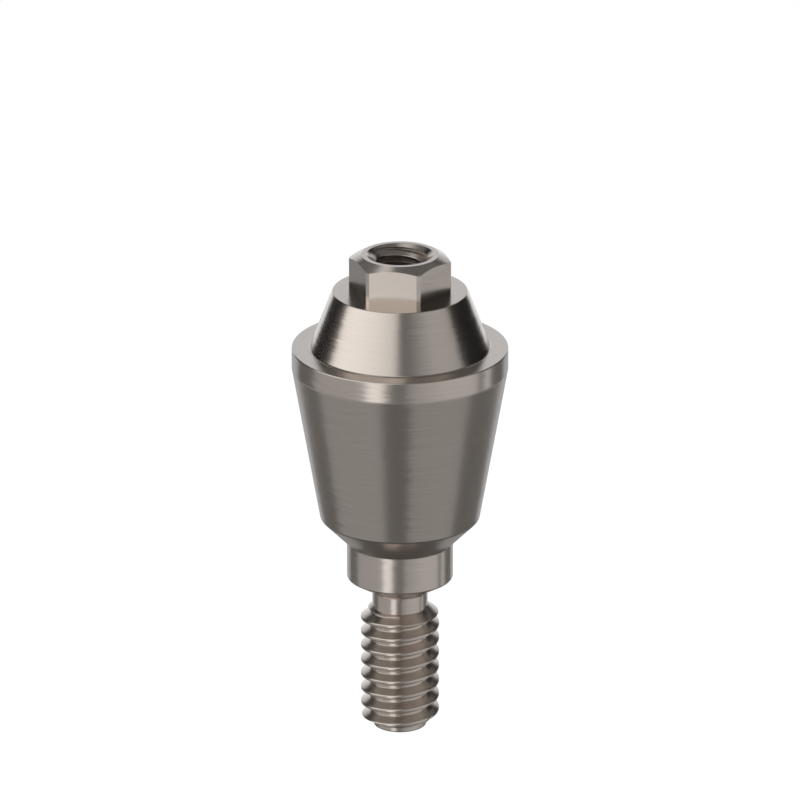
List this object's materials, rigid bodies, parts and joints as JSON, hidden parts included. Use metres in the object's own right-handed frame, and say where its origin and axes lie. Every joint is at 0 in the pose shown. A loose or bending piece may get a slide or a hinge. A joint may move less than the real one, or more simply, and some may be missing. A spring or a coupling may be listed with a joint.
{
  "type": "dental abutment",
  "caption": "Straight screw-retained dental abutment: driver hexagon and cone over a round shoulder, tapered body, collar and a threaded stem, with a blind tapped hole.",
  "frame": {"origin": "on the axis of the screw hole, in the plane of the restoration shoulder", "axes": "+Z along the part's axis, out of the screw hole's mouth; -Y is the side that the hexagon's front flat almost faces, turned 9 degrees towards -X"},
  "size_m": [0.0048, 0.0048, 0.0112],
  "materials": {
    "titanium": "bare machined titanium alloy, finely turned and lightly polished"
  },
  "bodies": {
    "root": {"abutment": "titanium"}
  },
  "joints": []
}
